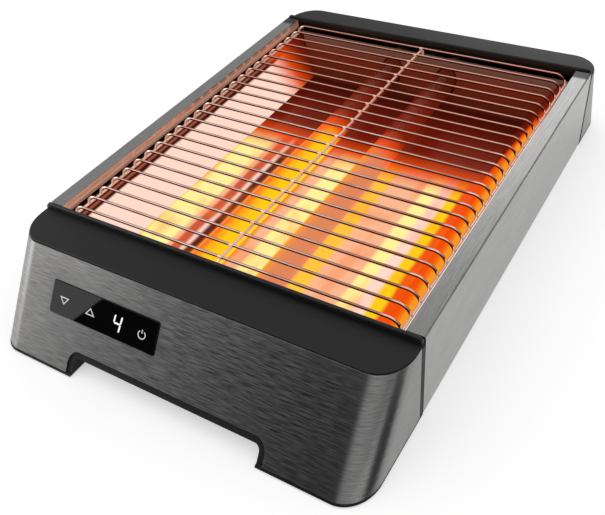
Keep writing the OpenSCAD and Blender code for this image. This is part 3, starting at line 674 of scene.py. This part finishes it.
def newPiece(name, points, faces, finish, slot, rider, nodes=(), sharp=35):
    mesh = bpy.data.meshes.new(name)
    mesh.from_pydata([Vector(p) * mm for p in points], [], faces)
    mesh.validate()
    shape = bmesh.new()
    shape.from_mesh(mesh)
    bmesh.ops.recalc_face_normals(shape, faces=shape.faces)
    shape.to_mesh(mesh)
    shape.free()
    mesh.polygons.foreach_set("use_smooth", [True] * len(mesh.polygons))
    mesh.set_sharp_from_angle(angle=math.radians(sharp))
    mesh.materials.append(finish)
    piece = bpy.data.objects.new(name, mesh)
    scene.collection.objects.link(piece)
    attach(piece, rider)
    if nodes:
        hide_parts(*nodes)
    return piece


def spread(start, stop, parts):  # even values from start to stop
    return [start + (stop - start) * i / parts for i in range(parts + 1)]


def loft(rings, closed=False):  # skin over rings of points, ends filled unless it closes on itself
    count = len(rings[0])
    points = [p for ring in rings for p in ring]
    faces = []
    for i in range(len(rings) if closed else len(rings) - 1):
        here = i * count
        there = (i + 1) % len(rings) * count
        for k in range(count):
            nextK = (k + 1) % count
            faces.append((here + k, here + nextK, there + nextK, there + k))
    if not closed:
        faces.append(tuple(range(count)))
        faces.append(tuple(range(len(points) - count, len(points))))
    return points, faces


def joined(shapes):
    points, faces = [], []
    for shapePoints, shapeFaces in shapes:
        faces += [tuple(k + len(points) for k in face) for face in shapeFaces]
        points += shapePoints
    return points, faces


wireShape = {"tipLength": 0.3, "tipWidth": 0.55, "sharp": 50}  # the ends are a little domed


def wire(path, radius, sides=10):  # round wire along a path
    path = [Vector(p) for p in path]
    last = len(path) - 1
    along = [(path[min(i + 1, last)] - path[max(i - 1, 0)]).normalized() for i in range(last + 1)]
    across = along[0].orthogonal().normalized()
    rings = []
    for i, point in enumerate(path):
        across = (across - along[i] * across.dot(along[i])).normalized()
        other = along[i].cross(across)
        ring = []
        for k in range(sides):
            angle = 2 * math.pi * k / sides
            ring.append((across * math.cos(angle) + other * math.sin(angle)) * radius)
        dome = [point + p * wireShape["tipWidth"] for p in ring]
        inward = along[i] * wireShape["tipLength"]
        if i == 0:
            rings += [dome, [point + inward + p for p in ring]]
        elif i == last:
            rings += [[point - inward + p for p in ring], dome]
        else:
            rings.append([point + p for p in ring])
    return loft(rings)


capLook = {
    "under": 54.9,
    "side": 0.9,
    "inset": 0.9,
    "edge": 0.4,
    "strip": 4.0,
    "stripDeep": 6.0,
    "stripLap": 0.1,
    "beadGap": 0.7,
    "beadWidth": 2.6,
    "beadTop": 61.5,
    "beadRoot": 0.3,
    "beadEnd": 0.4,
    "beadRound": 2.4,
    "beadTurn": (12, 90),  # degrees of the turn that lowers each end
    "cornerSteps": 14,
    "edgeSteps": 5,
    "beadSteps": 10,
    "turnSteps": 7,
    "sharp": 40,
}


def capRing(end, inset, z):
    edge = halfWidth - inset
    radius = end["corner"] - inset
    face = end["depth"] + (capTop - z) * math.tan(end["lean"])
    corner = []
    for angle in spread(math.pi / 2, 0, capLook["cornerSteps"]):
        away = (end["corner"] - radius * math.cos(angle)) / math.cos(end["lean"])
        corner.append((edge - radius + radius * math.sin(angle), face - away))
    inner = capLook["beadGap"]
    flat = [(edge, inner)] + corner + [(-x, d) for x, d in reversed(corner)] + [(-edge, inner)]
    return [(x, end["seam"] + end["out"] * d, z) for x, d in flat]


def stripRing(end, side, z):  # the part of a cap that stands over the plastic strip at the seam
    near, far = capLook["beadGap"], capLook["strip"]
    outer, inner = side * halfWidth, side * (halfWidth - capLook["stripDeep"])
    flat = ((outer, near), (outer, far), (inner, far), (inner, near))
    return [(x, end["seam"] + end["out"] * d, z) for x, d in flat]


def beadShape(end):  # half-round bead along the well, turned down at both ends
    look = capLook
    radius = look["beadWidth"] / 2
    middle = look["beadGap"] + radius
    root = look["beadRoot"]
    straight = look["beadTop"] - capTop + root - radius
    section = [(-radius, 0)]
    for angle in spread(0, math.pi, look["beadSteps"]):
        section.append((-radius * math.cos(angle), straight + radius * math.sin(angle)))
    section.append((radius, 0))
    rings = []
    for side in (-1, 1):
        for degrees in spread(*look["beadTurn"], look["turnSteps"]):
            turn = math.radians(degrees)
            x = side * (halfWidth - look["beadEnd"] - look["beadRound"] * (1 - math.cos(turn)))
            rise = root + (1 - root) * math.sin(turn)
            rings.append([(x, end["seam"] + end["out"] * (middle + d), capTop - root + z * rise)
                          for d, z in section])
    return loft(sorted(rings))


def cap(name, end, node):
    look = capLook
    low, edge = capTop - look["side"], look["edge"]
    plate = [capRing(end, look["inset"], look["under"]), capRing(end, look["inset"], low),
             capRing(end, 0, low)]
    for turn in spread(0, math.pi / 2, look["edgeSteps"]):
        inset, rise = edge - edge * math.cos(turn), edge * math.sin(turn)
        plate.append(capRing(end, inset, capTop - edge + rise))
    shapes = [loft(plate), beadShape(end)]
    for side in (1, -1):
        heights = (look["under"], low + look["stripLap"])
        shapes.append(loft([stripRing(end, side, z) for z in heights]))
    newPiece(name, *joined(shapes), capPlastic, "black_plastic", "body", [node], look["sharp"])


cap("frontCap", frontEnd, "front_cap")
cap("rearCap", rearEnd, "rear_cap")
print("caps made")

rackLook = {
    "count": 25,
    "first": 6.7,
    "shift": -1.5,
    "radius": 0.88,
    "top": 59.0,
    "railX": 110.0,
    "railZ": 52.0,
    "railEnd": 4.7,
    "bend": 7.5,
    "angle": 75.0,
    "rodZ": 57.4,
    "rodLow": 51.0,
    "rodBend": 3.0,
    "rodEnd": 3.6,
    "bendSteps": 8,
    "railSteps": 12,
    "straight": (0.5, 0, -0.5),  # points between the two bends of a wire
}


def crossWirePath(y):
    look = rackLook
    angle, bend = math.radians(look["angle"]), look["bend"]
    drop = look["top"] - look["railZ"]
    leg = (drop - bend * (1 - math.cos(angle))) / math.sin(angle)
    bendX = look["railX"] - bend * math.sin(angle) - leg * math.cos(angle)
    half = [(look["railX"], look["railZ"])]
    for lean in spread(angle, 0, look["bendSteps"]):
        half.append((bendX + bend * math.sin(lean), look["top"] - bend * (1 - math.cos(lean))))
    middle = [(bendX * part, look["top"]) for part in look["straight"]]
    return [(x, y, z) for x, z in half + middle + [(-x, z) for x, z in reversed(half)]]


def rackPiece(name, shape, node):
    newPiece(name, *shape, rackChrome, "rack_chrome", "rack", [node], wireShape["sharp"])


def rack():
    look = rackLook
    radius = look["radius"]
    front, rear = frontSeam + look["shift"], rearSeam + look["shift"]
    places = spread(front + look["first"], rear - look["first"], look["count"] - 1)
    rackPiece("rackWires", joined([wire(crossWirePath(y), radius) for y in places]), "rack_wires")
    rails = []
    for side in (1, -1):
        places = spread(front + look["railEnd"], rear - look["railEnd"], look["railSteps"])
        rails.append(wire([(side * look["railX"], y, look["railZ"]) for y in places], radius))
    rackPiece("rackRails", joined(rails), "rack_rails")
    bend, low, start = look["rodBend"], look["rodZ"] - look["rodBend"], front + look["rodEnd"]
    rod = [(0, start, look["rodLow"])]
    for angle in spread(0, math.pi / 2, look["bendSteps"]):
        rod.append((0, start + bend - bend * math.cos(angle), low + bend * math.sin(angle)))
    back = [(x, front + rear - y, z) for x, y, z in reversed(rod)]
    places = spread(rod[-1][1], back[0][1], look["railSteps"])[1:-1]
    between = [(0, y, look["rodZ"]) for y in places]
    rackPiece("rackRod", wire(rod + between + back, radius), "rack_rod")


rack()
print("rack made")

# heating coils inside the quartz tubes
coilLook = {
    "x": 22.5,
    "z": 38.5,
    "radius": 3.9,
    "wire": 0.6,
    "pitch": 3.2,
    "turnPoints": 12,
    "inset": 5.0,
    "lead": 1.5,
    "leadReach": 14.0,
    "leadPoints": (0, 0.3, 0.7, 1),
    "sides": 6,
    "leadSides": 12,
}


def coil(name, side, node):
    look = coilLook
    x, z, radius = side * look["x"], look["z"], look["radius"]
    start, stop = frontSeam + look["inset"], rearSeam - look["inset"]
    turns = (stop - start) / look["pitch"]
    helix = []
    for part in spread(0, 1, int(turns * look["turnPoints"])):
        angle = 2 * math.pi * turns * part
        helix.append((x + radius * math.cos(angle), start + (stop - start) * part,
                      z + radius * math.sin(angle)))
    shapes = [wire(helix, look["wire"], look["sides"])]
    for seam, out, end in ((frontSeam, -1, start), (rearSeam, 1, stop)):
        far = seam + out * look["leadReach"]
        path = [(x, far * part + end * (1 - part), z) for part in look["leadPoints"]]
        shapes.append(wire(path, look["lead"], look["leadSides"]))
    newPiece(name, *joined(shapes), coilGlow, "element_wire", "body", [node], wireShape["sharp"])


coil("coilLeft", -1, "heating_element_left")
coil("coilRight", 1, "heating_element_right")
print("coils made")

# marks on the glass panel
panelLook = {
    "x": -49.0,
    "slope": 26.7,
    "proud": 0.4,
    "depth": (-0.03, 0.05),  # of the marks, into the glass and out of it
    "drop": -0.6,
    "line": 0.58,
    "down": -29.2,
    "up": -9.1,
    "arrowHalf": 2.9,
    "arrowFoot": 1.75,
    "arrowTip": 1.9,
    "power": 28.7,
    "powerHalf": (2.45, 2.3),
    "powerDrop": 0.3,
    "powerTurn": (38, 322),  # degrees, the open ring
    "powerSteps": 28,
    "powerStem": (0.5, 2.6),
    "digit": 11.0,
    "digitHalf": (2.4, 4.8),
    "digitSlant": math.radians(6),
    "bar": 1.0,
    "barGap": 0.12,
    "sharpest": 0.3,  # keeps the corners of a line short
}


def facePoint(u, w, out):  # u along the panel, w up the slope, out of the face
    lean = frontEnd["lean"]
    up = Vector((0, math.sin(lean), math.cos(lean)))
    away = Vector((0, -math.cos(lean), math.sin(lean)))
    edge = Vector((panelLook["x"] + u, frontSeam - frontEnd["depth"], capTop))
    return edge + up * (w - panelLook["slope"]) + away * (panelLook["proud"] + out)


def markLine(path, closed):
    path = [Vector(p) for p in path]
    count = len(path)
    deep, high = panelLook["depth"]
    rings = []
    for i, point in enumerate(path):
        ahead = (path[(i + 1) % count] - point).normalized()
        before = (point - path[i - 1]).normalized() if closed or i else ahead
        after = ahead if closed or i < count - 1 else before
        normal = Vector((-(before + after).y, (before + after).x)).normalized()
        square = max(normal.dot(Vector((-before.y, before.x))), panelLook["sharpest"])
        reach = normal * (panelLook["line"] / 2 / square)
        inner, outer = point - reach, point + reach
        rings.append([facePoint(*inner, deep), facePoint(*outer, deep),
                      facePoint(*outer, high), facePoint(*inner, high)])
    return loft(rings, closed)


def digitBar(start, stop):  # one pointed bar of the digit
    look = panelLook
    start, stop = Vector(start), Vector(stop)
    along = (stop - start).normalized()
    across = Vector((-along.y, along.x)) * look["bar"] / 2
    tip = along * look["bar"] / 2
    start, stop = start + along * look["barGap"], stop - along * look["barGap"]
    outline = [start, start + tip + across, stop - tip + across,
               stop, stop - tip - across, start + tip - across]
    slant = math.tan(look["digitSlant"])
    flat = [(look["digit"] + p.x + p.y * slant, p.y) for p in outline]
    return loft([[facePoint(u, w, out) for u, w in flat] for out in look["depth"]])


def panelMarks():
    look = panelLook
    drop, half = look["drop"], look["arrowHalf"]
    shapes = []
    for centre, way in ((look["down"], -1), (look["up"], 1)):
        foot, tip = drop - way * look["arrowFoot"], drop + way * look["arrowTip"]
        shapes.append(markLine([(centre - half, foot), (centre + half, foot), (centre, tip)], True))
    wide, tall = look["powerHalf"]
    middle = drop - look["powerDrop"]
    turns = [math.radians(degrees) for degrees in spread(*look["powerTurn"], look["powerSteps"])]
    ring = [(look["power"] + wide * math.sin(a), middle + tall * math.cos(a)) for a in turns]
    shapes.append(markLine(ring, False))
    shapes.append(markLine([(look["power"], drop + rise) for rise in look["powerStem"]], False))
    newPiece("panelMarks", *joined(shapes), iconPrint, "panel_glass", "body")
    side, tall = look["digitHalf"]
    bars = (((-side, tall), (-side, 0)), ((side, tall), (side, 0)),
            ((side, 0), (side, -tall)), ((-side, 0), (side, 0)))
    digit = [digitBar(*[(u, w + drop) for u, w in bar]) for bar in bars]
    newPiece("panelDigit", *joined(digit), digitLight, "panel_glass", "body")


panelMarks()
print("panel marks made")

trayNodes = ("crumb_tray", "tray_front")
edgeLook = {"merge": 1e-6, "flat": 0.004, "sharp": 28, "segments": 2}


def dressed(nodeName, finish, slot, broken):  # a node's own shape with its edges broken
    look = edgeLook
    shape = bmesh.new()
    shape.from_mesh(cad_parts[nodeName].data)
    bmesh.ops.remove_doubles(shape, verts=shape.verts, dist=look["merge"])
    bmesh.ops.dissolve_limit(shape, angle_limit=look["flat"], verts=shape.verts, edges=shape.edges)
    shape.verts.index_update()
    points = [v.co * perMetre for v in shape.verts]
    faces = [tuple(v.index for v in face.verts) for face in shape.faces]
    shape.free()
    rider = "tray" if nodeName in trayNodes else "body"
    piece = newPiece(nodeName + "_finished", points, faces, finish, slot, rider, [nodeName],
                     look["sharp"])
    if broken:
        edge = piece.modifiers.new("brokenEdge", "BEVEL")
        edge.width = broken * mm
        edge.segments = look["segments"]
        edge.limit_method = "ANGLE"
        edge.angle_limit = math.radians(look["sharp"])
        edge.harden_normals = True


# pieces that keep their solid's shape, with the width of their broken edges
for nodeName, finish, slot, broken in (
    ("front_cover", frontSteel, "cover_steel", 0.1),
    ("rear_cover", rearSteel, "cover_steel", 0.1),
    ("side_panel_left", sideSteel, "side_steel", 0.12),
    ("side_panel_right", sideSteel, "side_steel", 0.12),
    ("front_housing", housingPlastic, "black_plastic", 0.3),
    ("rear_housing", housingPlastic, "black_plastic", 0.3),
    ("touch_panel", panelGlass, "panel_glass", 0.25),
    ("tray_front", housingPlastic, "black_plastic", 0.4),
    ("crumb_tray", trayGlow, "tray_sheet", 0.2),
    ("side_reflector_left", paintedGlowReflector("left"), "reflector_sheet", 0.15),
    ("side_reflector_right", paintedGlowReflector("right"), "reflector_sheet", 0.15),
    ("end_reflector_front", paintedGlowReflector("front"), "reflector_sheet", 0.15),
    ("end_reflector_rear", paintedGlowReflector("rear"), "reflector_sheet", 0.15),
    ("cable_inlet", rubber, "black_rubber", 0.5),
    ("rubber_feet", rubber, "black_rubber", 0.3),
    ("quartz_tube_left", quartzLeft, "quartz", 0),
    ("quartz_tube_right", quartzRight, "quartz", 0),
    ("base_plate", plated, "plated_sheet", 0.15),
    ("tube_holders", ceramic, "ceramic", 0.3),
    ("base_screws", screwSteel, "screw_steel", 0.3),
):
    dressed(nodeName, finish, slot, broken)

# solids that stay as they are and get a finish
for nodeNames, finish in (
    (("front_end_plate", "rear_end_plate", "side_shield_left", "side_shield_right"), sootedSheet),
    (("tray_guides",), plated),
    (("display_module",), displayCase),
    (("key_pads",), contactMetal),
    (("panel_board", "power_board"), board),
    (("switching_relay", "supply_transformer", "filter_capacitor"), partCase),
    (("terminal_block", "thermal_fuse"), ceramic),
    (("heater_leads", "mains_loom"), wireSleeve),
    (("heat_sensor", "board_screws"), screwSteel),
):
    for nodeName in nodeNames:
        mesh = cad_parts[nodeName].data
        mesh.materials.clear()
        mesh.materials.append(finish)
print("solids finished")


def lightPath(bench):
    path = bench.tree.nodes.new("ShaderNodeLightPath")
    camera, glossy, through = [Value(bench, path.outputs[name]) for name in
                               ("Is Camera Ray", "Is Glossy Ray", "Is Transmission Ray")]
    return camera, glossy.highest(through)


darkLevel = 0.03  # the space before the front and the bare floor, as metal mirrors them
floorLook = {
    "colour": 0.8,
    "swing": 0.02,
    "cloud": 200,
    "rough": 0.9,
    "lift": 0.45,  # for the camera
    "mirrorLift": 0.25,  # for metal and glass
    "half": 8,  # m
}
# dark floor that metal mirrors beside the right front corner and before the front
bareFloor = {
    "level": darkLevel,
    "ahead": 60,  # from the seam to the line that the distances are measured from
    "nearSlope": 0.889,
    "near": (102, 116),
    "farSlope": 0.16,
    "far": (-22, -8),
    "rear": (-76, -56),
    "right": (420, 520),
    "gain": 0.97,
    "front": (102, 172),
    "frontLeft": (-45, 110),  # it comes nearer from left to right
    "frontRight": (118, 150),
    "frontNearer": 150,
    "panelX": 49,
    "panelTilt": (0.79, 0.61),
    "panelEdge": (0, 60),
}


def studioFloor():
    look, bare = floorLook, bareFloor
    finish = Finish("paleFloor")
    camera, mirrored = lightPath(finish)
    x, y = [finish.axis(finish.place, letter) for letter in "XY"]
    before = frontSeam - bare["ahead"] - y
    corner = (before + x * bare["nearSlope"]).step(*bare["near"])
    corner = corner * (1 - (before - x * bare["farSlope"]).step(*bare["far"]))
    corner = corner * before.step(*bare["rear"]) * (1 - x.step(*bare["right"])) * bare["gain"]
    nearer = x.step(*bare["frontLeft"]) * (1 - x.step(*bare["frontRight"])) * bare["frontNearer"]
    acrossTilt, aheadTilt = bare["panelTilt"]
    panel = ((x + bare["panelX"]) * acrossTilt + before * aheadTilt).step(*bare["panelEdge"])
    front = (before + nearer).step(*bare["front"]) * panel
    dark = mirrored * corner.highest(front)
    shades = [grey(look["colour"] * (1 + way * look["swing"])) for way in (-1, 1)]
    pale = finish.mix(finish.noise(look["cloud"]), *shades)
    seen = finish.mix(mirrored * (1 - dark), grey(0), grey(look["mirrorLift"]))
    finish.surface({
        "Base Color": finish.mix(dark, pale, grey(bare["level"])),
        "Roughness": look["rough"],
        "Specular IOR Level": 0.0,
        "Emission Color": finish.mix(camera, seen, grey(look["lift"])),
        "Emission Strength": 1.0,
    })
    finish.material.cycles.emission_sampling = "NONE"
    half = look["half"]
    mesh = bpy.data.meshes.new("studioFloor")
    corners = [(-half, -half, 0), (half, -half, 0), (half, half, 0), (-half, half, 0)]
    mesh.from_pydata(corners, [], [(0, 1, 2, 3)])
    mesh.materials.append(finish.material)
    floor = bpy.data.objects.new("studioFloor", mesh)
    scene.collection.objects.link(floor)


# levels of the room that metal and glass mirror
roomLevel = {
    "fill": 0.75,  # on dull surfaces
    "room": 0.4,
    "top": 1.0,
    "ahead": darkLevel,
    "strip": 0.6,  # lamp on the right of the front
    "card": 0.88,  # big card on the left
    "cardFar": 3.5,  # its far end
    "back": 1.25,  # lamp behind
    "beside": 0.3,  # dark space behind on the right
}
# where they start and end, in parts of a ray's direction
roomEdge = {
    "top": (0.8, 0.92),
    "ahead": (-0.35, -0.05),
    "aheadTop": (0.45, 0.8),
    "stripLeft": (-0.06, 0.1),
    "stripRight": (0.9, 0.97),
    "stripBack": (-0.45, -0.25),
    "cardTilt": (-0.691, 0.634, 0.347),
    "card": (0.0045, 0.0075),
    "cardBack": (-0.1, 0.35),
    "cardFar": (-0.93, -0.72),
    "back": (0.4, 0.6),
    "backLeft": (-0.46, -0.26),
    "backTop": (0.48, 0.76),
    "beside": (0.15, 0.35),
}


def studioWorld():
    level, edge = roomLevel, roomEdge
    world = bpy.data.worlds.new("studioWorld")
    scene.world = world
    world.use_nodes = True
    world.cycles.sampling_method = "NONE"
    bench = Bench(world.node_tree)
    ray = bench.add("ShaderNodeTexCoord", output="Generated")
    x, y, z = [bench.axis(ray, letter) for letter in "XYZ"]
    camera, mirrored = lightPath(bench)
    ahead = (1 - y.step(*edge["ahead"])) * (1 - z.step(*edge["aheadTop"]))
    strip = x.step(*edge["stripLeft"]) * (1 - x.step(*edge["stripRight"]))
    strip = strip * (1 - y.step(*edge["stripBack"]))
    tiltX, tiltY, tiltZ = edge["cardTilt"]
    card = (x * tiltX + y * tiltY + z * tiltZ).step(*edge["card"]) * (1 - y.step(*edge["cardBack"]))
    farEnd = (1 - x.step(*edge["cardFar"])) * (level["cardFar"] - level["card"])
    behind = y.step(*edge["back"])
    back = behind * x.step(*edge["backLeft"]) * (1 - z.step(*edge["backTop"]))
    room = level["room"]
    for mask, light in (
        (z.step(*edge["top"]), level["top"]),
        (ahead, level["ahead"]),
        (strip, level["strip"]),
        (card, level["card"] + farEnd),
        (back, level["back"]),
        (behind * x.step(*edge["beside"]), level["beside"]),
    ):
        room = room + mask * (light - room)
    strength = camera + mirrored * room + (1 - camera) * (1 - mirrored) * level["fill"]
    background = world.node_tree.nodes["Background"]
    bench.feed(background, {"Color": grey(1), "Strength": strength})


studioFloor()
studioWorld()
print("studio made")
